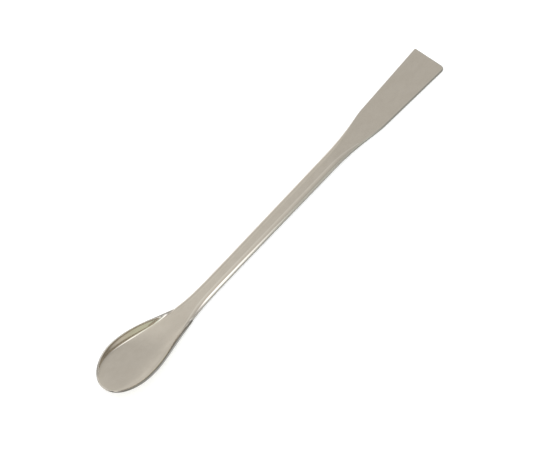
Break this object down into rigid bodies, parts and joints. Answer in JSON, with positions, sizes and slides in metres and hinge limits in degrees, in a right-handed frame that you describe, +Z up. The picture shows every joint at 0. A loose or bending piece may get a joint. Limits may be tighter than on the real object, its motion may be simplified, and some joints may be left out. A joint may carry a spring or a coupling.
{
  "type": "lab spatula",
  "caption": "One-piece stainless-steel lab spatula with a deep egg-shaped spoon bowl at one end, a narrow bar handle and a flat flared blade at the other.",
  "frame": {"origin": "on the table, under the centre of the whole part's box", "axes": "+X from the bowl to the blade, +Y across the blade, +Z up out of the bowl"},
  "size_m": [0.18, 0.019, 0.009],
  "materials": {
    "steel": "softly polished, with fine scratches from use"
  },
  "bodies": {
    "root": {"spatula": "steel"}
  },
  "joints": []
}
